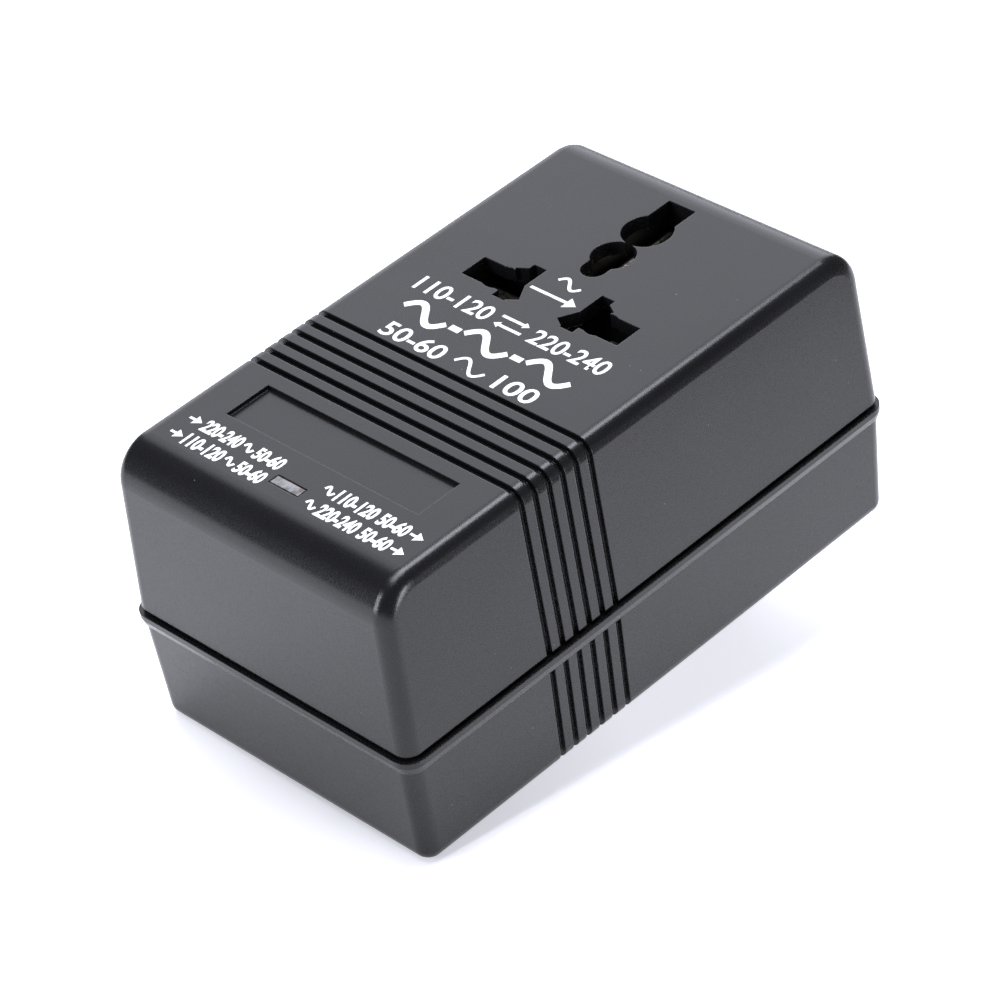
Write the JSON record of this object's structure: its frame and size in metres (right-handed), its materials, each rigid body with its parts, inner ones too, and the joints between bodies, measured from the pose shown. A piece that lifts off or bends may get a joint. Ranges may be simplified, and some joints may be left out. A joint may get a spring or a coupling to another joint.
{
  "type": "travel voltage converter",
  "caption": "Ribbed two-part converter housing with a universal socket on top, flat plug blades and a recessed voltage slide switch below, transformer and contacts inside.",
  "frame": {"origin": "under the middle of the housing, level with the tips of the plug blades", "axes": "+X across the housing, +Y along it towards the socket end, +Z out of the socket face"},
  "size_m": [0.054, 0.0928, 0.0614],
  "materials": {
    "housing_plastic": "fine spark-eroded texture, semi-matte charcoal",
    "inner_plastic": "plain moulded black",
    "screw_steel": "zinc plated",
    "contact_brass": "rolled strip",
    "blade_nickel": "nickel plated, lightly brushed",
    "plated_pin": "tinned",
    "copper_wire": "enamelled copper",
    "core_steel": "stacked laminations, varnished",
    "winding_tape": "polyester tape",
    "fuse_case": "ceramic-filled resin",
    "board_laminate": "paper laminate",
    "resistor_coat": "lacquered",
    "indicator_resin": "translucent grey resin",
    "selector_red": "moulded red",
    "lead_red": "PVC insulation",
    "lead_black": "PVC insulation",
    "lead_white": "PVC insulation"
  },
  "bodies": {
    "housing": {"upper_shell": "housing_plastic", "lower_shell": "housing_plastic", "housing_screws": "screw_steel", "contact_holder": "inner_plastic", "holder_screws": "screw_steel", "contact_live": "contact_brass", "contact_neutral": "contact_brass", "contact_earth": "contact_brass", "indicator_led": "indicator_resin", "indicator_board": "board_laminate", "indicator_resistor": "resistor_coat", "indicator_screws": "screw_steel", "core_e_stack": "core_steel", "core_i_stack": "core_steel", "core_screws": "screw_steel", "bobbin": "inner_plastic", "bobbin_pins": "plated_pin", "inner_winding": "copper_wire", "outer_winding": "copper_wire", "winding_tape": "winding_tape", "thermal_fuse": "fuse_case", "selector_case": "inner_plastic", "selector_base": "board_laminate", "selector_terminals": "plated_pin", "selector_screws": "screw_steel", "blade_left": "blade_nickel", "blade_right": "blade_nickel", "blade_retainer": "inner_plastic", "retainer_screws": "screw_steel", "indicator_leads": "lead_white", "lead_input_line": "lead_red", "lead_input_common": "lead_black", "lead_tap": "lead_red", "lead_output_line": "lead_red", "lead_output_common": "lead_black"},
    "slider": {"selector_slider": "selector_red", "selector_bridges": "contact_brass"}
  },
  "joints": [
    {"name": "selector_slide", "type": "slide", "parent": "housing", "child": "slider", "axis": [1, 0, 0], "range_m": [0, 0.004]}
  ]
}
